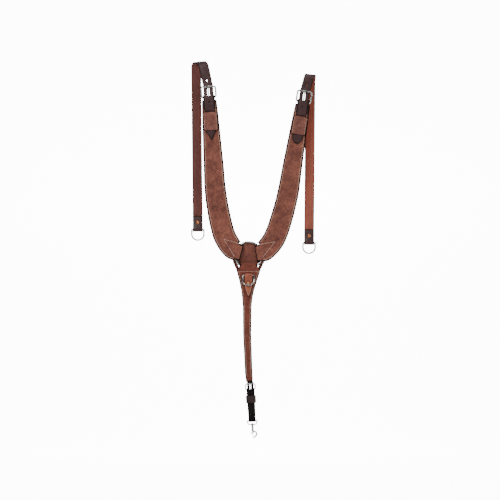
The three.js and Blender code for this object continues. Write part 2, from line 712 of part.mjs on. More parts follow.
function girthKeeper() {
  const inner = girthChapeWidth / 2 + 0.5;
  const outer = inner + girthKeeperWall;
  const front = billetFlat - leather / 2 - clearance;
  const back = chapeFace + chapeStack + clearance;
  const high = -girthKeeperDrop + girthKeeperHeight / 2;
  const low = high - girthKeeperHeight;
  const loop = block([-outer, outer], [front - girthKeeperWall, back + girthKeeperWall], [low, high]);
  return piece('girth_keeper', loop.subtract(block([-inner, inner], [front, back], [low - 1, high + 1])), 'dark');
}

// ---------------------------------------------------------------- snap hook

// Drawn round the middle of its eye bar, hanging down.
function snapEye() {
  const half = snapEyeWidth / 2;
  const path = new THREE.Path();
  path.moveTo(0, 0);
  path.lineTo(half - snapEyeCorner, 0);
  path.absarc(half - snapEyeCorner, -snapEyeCorner, snapEyeCorner, Math.PI / 2, 0, true);
  path.bezierCurveTo(half, -7.5, half - 3.5, -snapEyeDrop, 4, -snapEyeDrop);
  path.lineTo(-4, -snapEyeDrop);
  path.bezierCurveTo(-half + 3.5, -snapEyeDrop, -half, -7.5, -half, -snapEyeCorner);
  path.absarc(-half + snapEyeCorner, -snapEyeCorner, snapEyeCorner, Math.PI, Math.PI / 2, true);
  path.lineTo(0, 0);
  const boss = turned([[0, barrelTop + clearance], [3.4, barrelTop + clearance], [3.4, -9], [0, -9]], 16);
  const bore = cylinder(stemRadius + clearance, 12, 12, Z, new THREE.Vector3(0, 0, -snapEyeDrop));
  return piece('snap_eye', wireLoop(path, snapWire, 40).add(boss).subtract(bore), 'nickel');
}

const triggerPivot = new THREE.Vector3(-0.4, 0, -29.5);
const triggerSlot = 1.7;

function snapBody() {
  const barrel = turned([[0, barrelBottom - 4.5], [2.4, barrelBottom - 4.5], [barrelRadius, barrelBottom - 2],
    [barrelRadius, barrelBottom + 1], [2.9, barrelBottom + 3], [2.9, barrelTop - 3], [barrelRadius, barrelTop - 2],
    [barrelRadius, barrelTop], [stemRadius, barrelTop], [stemRadius, -9 + clearance], [2.8, -9 + clearance],
    [2.8, -7.4], [1.6, -6.6], [0, -6.6]], 16);
  const hookLine = new THREE.CatmullRomCurve3([[0.6, -27], [5.4, -28.4], [9, -31.6], [9.4, -36], [6.6, -40.6],
    [2.6, -42.9], [-0.9, -42.2]].map(([x, z]) => new THREE.Vector3(x, 0, z)));
  const slot = block([-6, 2.3], [-triggerSlot, triggerSlot], [-40, -26.6]);
  const hole = cylinder(1.1, 20, 10, Y, triggerPivot);
  const body = barrel.add(rod(hookLine, hookWire, 18)).subtract(slot).subtract(hole);
  return piece('snap_body', body, 'nickel');
}

function snapTrigger() {
  const thickness = 2 * (triggerSlot - clearance);
  const flat = (outline) => frontView(outline, -thickness / 2, thickness / 2);
  const knuckle = cylinder(1.9, thickness, 14, Y, triggerPivot);
  const gate = flat([point(-2.2, -29.5), point(1, -29.5), point(1, -35), point(-0.1, -39.6), point(-2.2, -39.6),
    point(-1.4, -35)]);
  const lever = flat([point(-5, -32.7), point(-1, -33.2), point(-1, -30.6), point(-5, -31)]);
  const knob = solid(new THREE.SphereGeometry(1.8, 10, 8)).translate([-5, 0, -31.8]);
  const hole = cylinder(1.1, 20, 10, Y, triggerPivot);
  return piece('snap_trigger', knuckle.add(gate).add(lever).add(knob).subtract(hole), 'nickel');
}

function snapPin() {
  return piece('snap_trigger_pin', cylinder(0.8, 2 * barrelRadius, 10, Y, triggerPivot), 'nickel');
}

// ---------------------------------------------------------------- assembly

const sides = {
  left: { sign: -1, lean: -12.9, pegRise: 79, backShift: -21, backLength: 409, hang: 0.6, turnBack: 34,
    rivetRise: 18, tipLength: 21, tipRoundness: 0.1, strapTurn: -6.5 },
  right: { sign: 1, lean: 10.6, pegRise: 59, backShift: 7, backLength: 411, hang: -0.5, turnBack: 34,
    rivetRise: 18, tipLength: 16, tipRoundness: 0.9, strapTurn: 6.5 },
};

const pegs = [];

function buckleGroup(name, side) {
  const group = new THREE.Group();
  group.position.set(side.sign * collarSpread, 0, collarRise);
  group.rotation.y = radians(side.strapTurn);
  const turn = collarTilt + side.strapTurn + side.hang;
  const local = { ...side, lean: side.lean - side.strapTurn, plumb: radians(turn) };
  const strap = tugStrap(local);
  const end = tugEnd(strap, local);
  const hole = cylinder(rivetShank + clearance, 20, 10, Y, end.rivet);
  const leatherStrap = strapSolid(strap.stations, tugThickness).subtract(tugHoles(local)).subtract(hole);
  const rivet = piece(`${name}_tug_rivet`, rivetSolid(2 * tugThickness + clearance), 'copper');
  rivet.position.copy(end.rivet);
  const dee = piece(`${name}_tug_dee`, wireLoop(deeLoop(deeWidth, deeDrop, deeWire), deeWire, 36), 'nickel');
  dee.position.copy(end.bar);
  dee.rotation.y = -local.plumb;
  const peg = new THREE.Group();
  peg.position.copy(strap.peg);
  pegs.push(peg);
  group.add(buckleFrame(`${name}_buckle_frame`), buckleChape(`${name}_buckle_chape`),
    buckleTongue(`${name}_buckle_tongue`), strapKeeper(`${name}_strap_keeper`),
    piece(`${name}_tug_strap`, leatherStrap, 'strap'), rivet, dee, peg);
  return group;
}

function collarGroup() {
  const group = new THREE.Group();
  group.rotation.y = radians(collarTilt);
  Object.entries(sides).forEach(([name, side]) => {
    group.add(piece(`${name}_collar_face`, armFace(side.sign), 'collar'));
    group.add(piece(`${name}_collar_lining`, armLining(side.sign), 'collar'));
    group.add(buckleGroup(name, side));
  });
  return group;
}

function tieDownGroup() {
  const group = new THREE.Group();
  group.position.x = tieX;
  group.add(tieDownTab(), tieDownRivet(), tieDownDee());
  return group;
}

function girthGroup() {
  const group = new THREE.Group();
  group.position.set(girthJoin.x, 0, girthJoin.y);
  group.rotation.y = radians(girthTilt);
  const snap = new THREE.Group();
  snap.position.set(0, girthHeelY, girthEyeBar);
  snap.add(snapEye(), snapBody(), snapTrigger(), snapPin());
  const frame = piece('girth_buckle_frame', girthFrame(girthWire), 'nickel');
  group.add(frame, girthBuckleTongue(), girthChape(), girthKeeper(), snap);
  return group;
}

function placedBillet() {
  return billetSolid().rotate([0, girthTilt, 0]).translate([girthJoin.x, 0, girthJoin.y]);
}

const tack = new THREE.Group();
tack.add(collarGroup(), centreRing(), ringSafe(), bellyFace(placedBillet()), bellyLining(), tieDownGroup(),
  girthGroup());

// The pegs the straps hang over are level front to back, so their midpoint is the origin.
tack.updateMatrixWorld(true);
const [leftPeg, rightPeg] = pegs.map((peg) => peg.getWorldPosition(new THREE.Vector3()));
tack.position.copy(leftPeg.lerp(rightPeg, 0.5).negate());

const breastplate = new THREE.Group();
breastplate.add(tack);

export default breastplate;
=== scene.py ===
"""Looks of a leather breast collar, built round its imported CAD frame.

The collar hangs by its two tug straps and faces -Y. Lengths below are in metres unless a name says mm.
"""

import json
import math

import bmesh
import bpy
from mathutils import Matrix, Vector
from mathutils.bvhtree import BVHTree


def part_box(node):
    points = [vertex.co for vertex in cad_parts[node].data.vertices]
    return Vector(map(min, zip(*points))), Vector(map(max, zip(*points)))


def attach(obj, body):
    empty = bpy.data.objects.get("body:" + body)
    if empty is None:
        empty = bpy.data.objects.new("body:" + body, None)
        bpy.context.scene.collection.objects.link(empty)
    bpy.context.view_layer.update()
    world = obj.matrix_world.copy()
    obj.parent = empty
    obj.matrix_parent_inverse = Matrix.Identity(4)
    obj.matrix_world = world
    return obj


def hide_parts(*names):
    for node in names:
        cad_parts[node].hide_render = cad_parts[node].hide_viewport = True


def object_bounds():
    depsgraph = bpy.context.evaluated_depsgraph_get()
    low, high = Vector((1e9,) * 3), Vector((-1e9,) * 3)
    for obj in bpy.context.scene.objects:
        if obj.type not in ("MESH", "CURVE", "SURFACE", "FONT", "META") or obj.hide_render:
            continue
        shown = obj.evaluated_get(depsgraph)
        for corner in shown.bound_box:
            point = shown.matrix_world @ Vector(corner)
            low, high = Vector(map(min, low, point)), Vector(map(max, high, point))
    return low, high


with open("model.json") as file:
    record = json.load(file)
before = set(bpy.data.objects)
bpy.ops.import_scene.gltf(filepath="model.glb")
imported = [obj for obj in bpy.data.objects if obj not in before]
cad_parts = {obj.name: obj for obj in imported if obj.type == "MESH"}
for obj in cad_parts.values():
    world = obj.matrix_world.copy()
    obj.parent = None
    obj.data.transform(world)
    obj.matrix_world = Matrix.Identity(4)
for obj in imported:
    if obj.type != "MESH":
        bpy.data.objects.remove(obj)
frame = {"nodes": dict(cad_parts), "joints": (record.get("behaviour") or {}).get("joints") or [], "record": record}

bl_info = {
    "name": "Leather breast collar",
    "version": (1, 0, 0),
    "blender": (4, 5, 0),
    "location": "View3D > Sidebar > Breast collar",
    "description": "Builds the leather, stitching, hardware and stage of a hanging breast collar",
    "category": "Object",
}

CAD_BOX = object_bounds()
NODES = frame["nodes"]
JOINTS = {joint["name"]: joint for joint in frame["joints"]}
BODY_OF = {node: body for body, nodes in frame["record"]["behaviour"]["bodies"].items() for node in nodes}
MM = 0.001
FRONT = Vector((0, -1, 0))
SHARP = math.radians(42)


def centre_of(node):
    """Middle of a CAD node's box."""
    low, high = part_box(node)
    return (low + high) / 2


def hinge_of(joint):
    """A point on a joint's axis, and the axis as a direction."""
    record = JOINTS[joint]
    return Vector(record["pos_m"]), Vector(record["axis"]).normalized()


RING_CENTRE = centre_of("centre_ring")


# ---------------------------------------------------------------- settings


class CollarSizes(bpy.types.PropertyGroup):
    """Sizes of the sewing and of the worked edges."""

    stitch_pitch: bpy.props.FloatProperty(
        name="Stitch pitch", description="From one stitch to the next, in millimetres", default=3.6, min=2, max=8)
    stitch_length: bpy.props.FloatProperty(
        name="Stitch length", description="Thread that shows in one stitch, in millimetres",
        default=2.9, min=1, max=7)
    thread: bpy.props.FloatProperty(
        name="Thread", description="Diameter of the waxed thread, in millimetres", default=0.8, min=0.4, max=2)
    collar_inset: bpy.props.FloatProperty(
        name="Collar seam inset", description="Arm edge to its seam, in millimetres", default=5.2, min=2, max=12)
    belly_inset: bpy.props.FloatProperty(
        name="Belly seam inset", description="Belly strap edge to its seam, in millimetres",
        default=4.1, min=2, max=8)
    edge_dye: bpy.props.FloatProperty(
        name="Edge dye", description="Width of the black border on a face, in millimetres",
        default=3.2, min=0.3, max=4)
    edge_round: bpy.props.FloatProperty(
        name="Edge round", description="Radius that the edge tool leaves, in millimetres",
        default=0.8, min=0.1, max=1.4)


class LeatherColours(bpy.types.PropertyGroup):
    """Colours of the leathers, edges and thread, as sRGB hex."""

    collar: bpy.props.StringProperty(name="Collar", description="Rough-out leather of the arms", default="6d4035")
    belly: bpy.props.StringProperty(name="Belly", description="Rough-out leather of the belly strap", default="603026")
    keeper: bpy.props.StringProperty(name="Keeper", description="Leather of the sewn keepers", default="6b4239")
    tie: bpy.props.StringProperty(name="Tie-down", description="Lighter leather of the tie-down tab", default="874a38")
    grain: bpy.props.StringProperty(name="Grain", description="Oiled grain side of the tug straps", default="331a1a")
    # The two tug flesh colours are lit and shaded copies of one leather: the left one is darker as painted shade, and
    # the right one is lighter as painted light from the right. The right one also colours the backs.
    left_flesh: bpy.props.StringProperty(name="Left flesh", description="Flesh side, left tug strap", default="5b3530")
    right_flesh: bpy.props.StringProperty(
        name="Right flesh", description="Flesh side of the right tug strap and of the backs", default="7f4436")
    dark: bpy.props.StringProperty(name="Dark", description="Dark harness leather of the chapes", default="220f0d")
    dark_flesh: bpy.props.StringProperty(name="Dark flesh", description="Flesh side of the chapes", default="4a302a")
    edge: bpy.props.StringProperty(name="Edge", description="Black edge dye", default="080505")
    thread: bpy.props.StringProperty(name="Thread", description="Waxed off-white thread", default="cdb4a2")


class StageSettings(bpy.types.PropertyGroup):
    """Camera and studio."""

    distance: bpy.props.FloatProperty(
        name="Camera distance", description="Camera to the collar", default=5.0, min=2, max=12, unit="LENGTH")
    view_width: bpy.props.FloatProperty(
        name="View width", description="Width of the view at the collar", default=1.27, min=0.5, max=3, unit="LENGTH")
    sweep_light: bpy.props.FloatProperty(
        name="Sweep light", description="How strongly the paper behind the collar is lit",
        default=11.0, min=0, max=20)
    floor: bpy.props.StringProperty(name="Floor", description="Colour of the seamless floor", default="fdfdfd")


# ---------------------------------------------------------------- mesh helpers


def new_object(name, mesh, body):
    """A piece that rides on a body."""
    piece = bpy.data.objects.new(name, mesh)
    bpy.context.scene.collection.objects.link(piece)
    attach(piece, body)
    return piece


def replace_nodes(piece, *nodes):
    """Lets a piece stand in for its CAD nodes."""
    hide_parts(*nodes)
    return piece


def smooth_shaded(mesh):
    """The mesh with all its faces shaded smooth."""
    for face in mesh.polygons:
        face.use_smooth = True
    return mesh


def tube_mesh(bm, points, radii, across, closed=False, sides=20, flat=1.0):
    """Adds a round rod along points that lie in the plane square to across. flat squashes it in that plane."""
    count = len(points)
    rings = []
    for i, here in enumerate(points):
        before = points[(i - 1) % count] if closed else points[max(i - 1, 0)]
        after = points[(i + 1) % count] if closed else points[min(i + 1, count - 1)]
        along = (after - before).normalized()
        side = along.cross(across).normalized()
        radius = radii[i] if isinstance(radii, (list, tuple)) else radii
        ring = []
        for k in range(sides):
            angle = 2 * math.pi * k / sides
            offset = across * math.cos(angle) * radius + side * math.sin(angle) * radius * flat
            ring.append(bm.verts.new(here + offset))
        rings.append(ring)
    pairs = range(count) if closed else range(count - 1)
    for i in pairs:
        ring, following = rings[i], rings[(i + 1) % count]
        for k in range(sides):
            j = (k + 1) % sides
            bm.faces.new((ring[k], following[k], following[j], ring[j]))
    if not closed:
        bm.faces.new(rings[0])
        bm.faces.new(list(reversed(rings[-1])))


def rounded_ends(points, radius):
    """Stations for a rod whose two ends are half spheres."""
    first = (points[0] - points[1]).normalized()
    last = (points[-1] - points[-2]).normalized()
    steps = [0.0, 0.35, 0.62, 0.83, 0.96]
    caps = [math.sqrt(1 - (1 - s) ** 2) for s in steps]
    start = [points[0] + first * radius * (1 - s) for s in steps]
    end = [points[-1] + last * radius * (1 - s) for s in reversed(steps)]
    radii = [radius * max(c, 0.08) for c in caps]
    return start + points + end, radii + [radius] * len(points) + list(reversed(radii))


def turned_mesh(bm, profile, centre, axis, sides=40):
    """Adds a profile of (radius, height) points turned round an axis through centre."""
    axis = axis.normalized()
    side = axis.orthogonal().normalized()
    other = axis.cross(side)
    rings = []
    for radius, height in profile:
        if radius < 1e-7:
            rings.append([bm.verts.new(centre + axis * height)])
            continue
        ring = []
        for k in range(sides):
            angle = 2 * math.pi * k / sides
            outward = side * math.cos(angle) + other * math.sin(angle)
            ring.append(bm.verts.new(centre + axis * height + outward * radius))
        rings.append(ring)
    for low, high in zip(rings, rings[1:]):
        for k in range(sides):
            j = (k + 1) % sides
            if len(low) == 1:
                bm.faces.new((low[0], high[j], high[k]))
            elif len(high) == 1:
                bm.faces.new((low[k], low[j], high[0]))
            else:
                bm.faces.new((low[k], low[j], high[j], high[k]))


def finished_mesh(bm, name):
    """Turns the faces outwards and closes the edit as a smooth mesh."""
    bmesh.ops.recalc_face_normals(bm, faces=bm.faces)
    mesh = bpy.data.meshes.new(name)
    bm.to_mesh(mesh)
    bm.free()
    return smooth_shaded(mesh)


# ---------------------------------------------------------------- leather


def cad_bmesh(node):
    """A copy of a CAD solid, with its flat faces whole again."""
    bm = bmesh.new()
    bm.from_mesh(NODES[node].data)
    bmesh.ops.remove_doubles(bm, verts=bm.verts, dist=0.002 * MM)
    bmesh.ops.dissolve_limit(bm, angle_limit=math.radians(0.8), verts=bm.verts, edges=bm.edges)
    bm.normal_update()
    return bm


def skins_of(bm):
    """The outer and the inner broad side of a leather piece, each a set of faces that run smoothly together."""
    no_normal = 9
    left = dict.fromkeys(bm.faces)
    found = []
    while left:
        seed, _ = left.popitem()
        group, heap = {seed}, [seed]
        while heap:
            face = heap.pop()
            for edge in face.edges:
                for other in edge.link_faces:
                    if other in left and other.normal.angle(face.normal, no_normal) < SHARP:
                        del left[other]
                        group.add(other)
                        heap.append(other)
        found.append(group)
    found.sort(key=lambda group: -math.fsum(face.calc_area() for face in group))
    # The side that reaches furthest to the front is the outer one.
    return sorted(found[:2], key=lambda group: min(vert.co.y for face in group for vert in face.verts))


def leather_piece(node, name, materials):
    """Copies a CAD leather solid and rounds its edges.

    materials are those of the outer skin, the inner skin and the edge.
    """
    sizes = bpy.context.scene.collar_sizes
    outer_and_inner, edge_slot = (0, 1), 2
    bm = cad_bmesh(node)
    skins = skins_of(bm)
    for face in bm.faces:
        face.material_index = edge_slot
    for index, skin in zip(outer_and_inner, skins):
        for face in skin:
            face.material_index = index
    sharp = [edge for edge in bm.edges if edge.is_manifold and edge.calc_face_angle(0) > SHARP]
    bmesh.ops.bevel(bm, geom=sharp, offset=sizes.edge_round * MM, segments=3, profile=0.5, affect="EDGES",
                    clamp_overlap=True, material=edge_slot)
    mesh = bpy.data.meshes.new(name)
    bm.to_mesh(mesh)
    bm.free()
    smooth_shaded(mesh).set_sharp_from_angle(angle=math.radians(40))
    for material in materials:
        mesh.materials.append(material)
    piece = new_object(name, mesh, BODY_OF[node])
    return replace_nodes(piece, node)


def rims_of(bm, skin):
    """The borders of a skin as closed rows of (corner, direction into the skin, outward normal)."""
    following = {}
    inward = {}
    for edge in bm.edges:
        inside = [face for face in edge.link_faces if face in skin]
        if len(inside) != 1 or len(edge.link_faces) != 2:
            continue
        face = inside[0]
        loop = next(loop for loop in face.loops if loop.edge is edge)
        start, end = loop.vert, loop.link_loop_next.vert
        following[start] = end
        side = face.normal.cross(end.co - start.co).normalized()
        for vert in (start, end):
            inward.setdefault(vert, []).append((side, face.normal.copy()))
    rims = []
    while following:
        start = next(iter(following))
        here, rim = start, []
        while here in following:
            after = following.pop(here)
            sides = [side for side, _ in inward[here]]
            middle = sum(sides, Vector()) / len(sides)
            normal = sum((normal for _, normal in inward[here]), Vector()).normalized()
            # A corner's direction is longer than one, so that both of its sides are inset alike.
            stretch = 1 / max(middle.length_squared, 0.3)
            rim.append((here.co.copy(), middle * stretch, normal))
            here = after
        if here is start and len(rim) > 3:
            rims.append(rim)
    return rims


def edge_binding(node, name, width, rise, which=(0,), min_length=60, top=math.inf):
    """The dyed and burnished border on a piece's skins: a low rounded bead that follows each rim below top.

    width, rise and min_length are in millimetres.
    """
    bm = cad_bmesh(node)
    skins = skins_of(bm)
    result = bmesh.new()
    for index in which:
        for rim in rims_of(bm, skins[index]):
            length = sum((a[0] - b[0]).length for a, b in zip(rim, rim[1:]))
            if length < min_length * MM:
                continue
            add_bead(result, rim, width * MM, rise * MM, top)
    bm.free()
    mesh = finished_mesh(result, name)
    mesh.materials.append(dyed_edge("black_edge_dye", bpy.context.scene.leather_colours.edge))
    return new_object(name, mesh, BODY_OF[node])


def add_bead(bm, rim, width, rise, top):
    """Sweeps a flat oval, width by twice rise, along the rim below top. Its outer side stays on the rim."""
    sides = 10
    rows = []
    for corner, inward, normal in rim:
        row = []
        for k in range(sides):
            angle = 2 * math.pi * k / sides
            reach = width / 2 * (1 - math.cos(angle))
            row.append(bm.verts.new(corner + inward * reach + normal * (rise * math.sin(angle))))
        rows.append(row)
    kept = [corner.z < top for corner, _, _ in rim]
    for i, row in enumerate(rows):
        j = (i + 1) % len(rows)
        if kept[i] and kept[j]:
            for k in range(sides):
                m = (k + 1) % sides
                bm.faces.new((row[k], rows[j][k], rows[j][m], row[m]))
        elif kept[i] or kept[j]:
            bm.faces.new(row if kept[i] else rows[j])
    bmesh.ops.delete(bm, geom=[vert for vert in bm.verts if not vert.link_faces], context="VERTS")


def front_outline(node):
    """The longest closed edge of a leather piece's front, as points in order."""
    bm = cad_bmesh(node)
    skin = skins_of(bm)[0]
    front = {face for face in skin if face.normal.y < -0.9}
    loops = []
    edges = [edge for edge in bm.edges if sum(face in front for face in edge.link_faces) == 1]
    following = {}
    for edge in edges:
        for vert in edge.verts:
            following.setdefault(vert, []).append(edge.other_vert(vert))
    # The corners are taken in the mesh's own order, so that the stitches fall alike on every run.
    left = dict.fromkeys(following)
    while left:
        start, _ = left.popitem()
        loop, here, before = [start], start, None
        while True:
            options = [v for v in following[here] if v is not before and (v in left or v is start)]
            if not options:
                break
            before, here = here, options[0]
            if here is start:
                break
            del left[here]
            loop.append(here)
        loops.append([vert.co.copy() for vert in loop])
    bm.free()
    return max(loops, key=lambda loop: sum((a - b).length for a, b in zip(loop, loop[1:])))


def resampled(points, pitch, closed=False):
    """Points an even distance apart along a line."""
    line = points + points[:1] if closed else points
    total = sum((a - b).length for a, b in zip(line, line[1:]))
    count = max(2, round(total / pitch))
    step = total / count
    result, travelled, target = [line[0].copy()], 0.0, step
    for a, b in zip(line, line[1:]):
        length = (b - a).length
        while length > 0 and travelled + length >= target - 1e-9 and len(result) <= count:
            result.append(a.lerp(b, (target - travelled) / length))
            target += step
        travelled += length
    return result


def inset_line(outline, inset):
    """Points of the outline moved inwards in the front view, without those that crowd another edge."""
    flat = [Vector((p.x, p.z)) for p in outline]
    area = sum(a.x * b.y - b.x * a.y for a, b in zip(flat, flat[1:] + flat[:1]))
    turn = 1 if area > 0 else -1
    dense = resampled([Vector((p.x, 0, p.y)) for p in flat], 1.2 * MM, closed=True)
    walls = list(zip(flat, flat[1:] + flat[:1]))
    result = []
    for before, here, after in zip(dense[-1:] + dense[:-1], dense, dense[1:] + dense[:1]):
        along = Vector((after.x - before.x, after.z - before.z))
        if along.length < 1e-7:
            continue
        along.normalize()
        moved = Vector((here.x - along.y * inset * turn, here.z + along.x * inset * turn))
        nearest = min(distance_to_segment(moved, a, b) for a, b in walls)
        result.append(moved if nearest > 0.97 * inset else None)
    return result


def distance_to_segment(point, a, b):
    """From a point to the nearest place between a and b."""
    span = b - a
    t = max(0.0, min(1.0, (point - a).dot(span) / max(span.length_squared, 1e-12)))
    return (point - a - span * t).length


def runs_of(points, keep):
    """Splits a line at dropped points into runs."""
    runs, run = [], []
    for point in points:
        if point is not None and keep(point):
            run.append(point)
        elif run:
            runs.append(run)
            run = []
    if run:
        runs.append(run)
    return [run for run in runs if len(run) > 4]


def add_stitch(bm, start, end, out, thread, flatten=0.75):
    """One stitch: a thread that bows out of the leather and dives in at both ends."""
    along = (end - start).normalized()
    across = along.cross(out).normalized()
    points, radii = [], []
    for share, lift, size in ((0, -0.5, 0.55), (0.07, -0.1, 0.85), (0.25, 0.28, 1), (0.5, 0.38, 1.03), (0.75, 0.28, 1),
                              (0.93, -0.1, 0.85), (1, -0.5, 0.55)):
        points.append(start.lerp(end, share) + out * thread * 0.5 * lift)
        radii.append(thread * 0.5 * size)
    tube_mesh(bm, points, radii, across, sides=7, flat=flatten)


def sewn(name, lines, surface, body, material, thread_scale=1.0):
    """Sews rows of stitches along lines of (x, z) points on the front of a piece."""
    sizes = bpy.context.scene.collar_sizes
    tree = BVHTree.FromObject(surface, bpy.context.evaluated_depsgraph_get())
    thread = sizes.thread * MM * thread_scale
    bm = bmesh.new()
    front = CAD_BOX[0][1] - 0.1
    for line in lines:
        spots = resampled([Vector((p.x, 0, p.y)) for p in line], sizes.stitch_pitch * MM)
        for a, b in zip(spots, spots[1:]):
            middle = (a + b) / 2
            hit, normal, _, _ = tree.ray_cast(Vector((middle.x, front, middle.z)), Vector((0, 1, 0)))
            if hit is None or normal.y > -0.3:
                continue
            along = (b - a).normalized()
            along = (along - normal * along.dot(normal)).normalized()
            half = along * sizes.stitch_length * MM / 2
            add_stitch(bm, hit - half, hit + half, normal, thread)
    mesh = finished_mesh(bm, name)
    mesh.materials.append(material)
    return new_object(name, mesh, body)


# ---------------------------------------------------------------- materials


def linear(code):
    """An sRGB hex colour as linear RGBA."""
    values = [int(code[i:i + 2], 16) / 255 for i in (0, 2, 4)]
    return [v / 12.92 if v <= 0.04045 else ((v + 0.055) / 1.055) ** 2.4 for v in values] + [1.0]


def shaded(code, factor):
    """An sRGB hex colour made darker or lighter, as linear RGBA."""
    red, green, blue, alpha = linear(code)
    return [min(red * factor, 1), min(green * factor, 1), min(blue * factor, 1), alpha]


def add_node(tree, kind, settings=None, inputs=None, links=None):
    """Adds a node. settings are its own values, inputs its socket values, links its socket to a source socket."""
    node = tree.nodes.new(kind)
    for name, value in (settings or {}).items():
        setattr(node, name, value)
    for name, value in (inputs or {}).items():
        node.inputs[name].default_value = value
    for name, source in (links or {}).items():
        tree.links.new(source, node.inputs[name])
    return node


def new_material(name):
    """An empty material with its tree, object coordinates and principled shader."""
    material = bpy.data.materials.get(name) or bpy.data.materials.new(name)
    material.use_nodes = True
    tree = material.node_tree
    tree.nodes.clear()
    place = add_node(tree, "ShaderNodeTexCoord")
    shader = add_node(tree, "ShaderNodeBsdfPrincipled")
    add_node(tree, "ShaderNodeOutputMaterial", links={"Surface": shader.outputs["BSDF"]})
    return material, tree, place.outputs["Object"], shader


def per_metre(size_mm):
    """Texture scale whose features are about this size."""
    return 1000 / size_mm


def grit(size_mm, detail=3.0, roughness=0.55, distortion=0.0):
    """Noise settings whose features are about this size."""
    return {"Scale": per_metre(size_mm), "Detail": detail, "Roughness": roughness, "Distortion": distortion}


def mottled(tree, layers, amount=1.0):
    """The colour of clouds laid on clouds.

    Each layer is (coordinates, grit, colour stops). Each one after the first multiplies what is
    under it, by amount.
    """
    colour = None
    for where, pattern, stops in layers:
        clouds = add_node(tree, "ShaderNodeTexNoise", inputs=pattern, links={"Vector": where})
        tone = add_node(tree, "ShaderNodeValToRGB", links={"Fac": clouds.outputs["Fac"]})
        elements = tone.color_ramp.elements
        while len(elements) < len(stops):
            elements.new(0.5)
        for element, (at, value) in zip(elements, stops):
            element.position = at
            element.color = value
        layer = tone.outputs["Color"]
        if colour is None:
            colour = layer
            continue
        both = add_node(tree, "ShaderNodeMix", {"data_type": "RGBA", "blend_type": "MULTIPLY"}, {"Factor": amount},
                        {"A": colour, "B": layer})
        colour = both.outputs["Result"]
    return colour


def relief(tree, where, pattern, strength, depth_mm, under=None):
    """The normal of a surface that rises and falls with a grit, on top of the relief under it if there is one."""
    height = add_node(tree, "ShaderNodeTexNoise", inputs=pattern, links={"Vector": where})
    links = {"Height": height.outputs["Fac"]}
    if under:
        links["Normal"] = under
    bump = add_node(tree, "ShaderNodeBump", inputs={"Strength": strength, "Distance": depth_mm * MM}, links=links)
    return bump.outputs["Normal"]


def uneven_polish(tree, where, pattern, smoothest, dullest):
    """A roughness that wanders between two values with a grit."""
    wear = add_node(tree, "ShaderNodeTexNoise", inputs=pattern, links={"Vector": where})
    rough = add_node(tree, "ShaderNodeMapRange", inputs={"To Min": smoothest, "To Max": dullest},
                     links={"Value": wear.outputs["Fac"]})
    return rough.outputs["Result"]


def rough_out_leather(name, code):
    """Vegetable-tanned leather worn flesh side out: a short soft nap with cloudy patches and no gloss."""
    material, tree, where, shader = new_material(name)
    # Hides take the oil unevenly, in patches from 8 mm to 30 mm across.
    oil = [(0.3, shaded(code, 0.74)), (0.5, linear(code)), (0.72, shaded(code, 1.3))]
    patches = [(0.3, [0.72, 0.66, 0.74, 1]), (0.5, [1, 1, 1, 1]), (0.7, [1.22, 1.3, 1.16, 1])]
    # Nap tufts are near 1 mm. They are drawn at 3 mm so that they show.
    tufts = [(0.28, [0.55, 0.53, 0.53, 1]), (0.5, [0.97, 0.97, 0.97, 1]), (0.74, [1.42, 1.36, 1.3, 1])]
    colour = mottled(tree, [(where, grit(30, 2, 0.6), oil), (where, grit(9, 3, 0.6, 0.6), patches),
                            (where, grit(3.2, 4, 0.65, 0.4), tufts)], 0.9)
    tree.links.new(colour, shader.inputs["Base Color"])
    nap = add_node(tree, "ShaderNodeTexNoise", inputs=grit(0.9, 4, 0.7), links={"Vector": where})
    broad = add_node(tree, "ShaderNodeTexNoise", inputs=grit(4.5, 3, 0.6), links={"Vector": where})
    height = add_node(tree, "ShaderNodeMath", {"operation": "ADD"},
                      links={0: nap.outputs["Fac"], 1: broad.outputs["Fac"]})
    bump = add_node(tree, "ShaderNodeBump", inputs={"Strength": 0.55, "Distance": 0.5 * MM},
                    links={"Height": height.outputs["Value"]})
    tree.links.new(bump.outputs["Normal"], shader.inputs["Normal"])
    shader.inputs["Roughness"].default_value = 0.92
    shader.inputs["IOR"].default_value = 1.5
    shader.inputs["Specular IOR Level"].default_value = 0.25
    shader.inputs["Sheen Weight"].default_value = 0.18
    shader.inputs["Sheen Roughness"].default_value = 0.5
    shader.inputs["Sheen Tint"].default_value = [0.9, 0.7, 0.6, 1]
    return material


def grain_leather(name, code, gloss=0.42):
    """Oiled harness leather, grain side: a low pebble with fine pores and a dull waxy shine."""
    material, tree, where, shader = new_material(name)
    patches = [(0.3, shaded(code, 0.72)), (0.52, linear(code)), (0.74, shaded(code, 1.35))]
    wear = [(0.3, [0.8, 0.8, 0.82, 1]), (0.7, [1.2, 1.14, 1.1, 1])]
    colour = mottled(tree, [(where, grit(34, 3, 0.6), patches), (where, grit(6, 4, 0.62, 0.3), wear)], 0.7)
    tree.links.new(colour, shader.inputs["Base Color"])
    # The grain's pebbles are about 1.6 mm across, with a crease round each.
    pebble = add_node(tree, "ShaderNodeTexVoronoi", {"feature": "DISTANCE_TO_EDGE"}, {"Scale": per_metre(1.6)},
                      {"Vector": where})
    crease = add_node(tree, "ShaderNodeMapRange", inputs={"From Max": 0.25},
                      links={"Value": pebble.outputs["Distance"]})
    bump = add_node(tree, "ShaderNodeBump", inputs={"Strength": 0.3, "Distance": 0.25 * MM},
                    links={"Height": crease.outputs["Result"]})
    normal = relief(tree, where, grit(2.2), 0.35, 0.4, bump.outputs["Normal"])
    tree.links.new(normal, shader.inputs["Normal"])
    tree.links.new(uneven_polish(tree, where, grit(9), gloss - 0.08, gloss + 0.16), shader.inputs["Roughness"])
    shader.inputs["IOR"].default_value = 1.5
    shader.inputs["Specular IOR Level"].default_value = 0.3
    return material


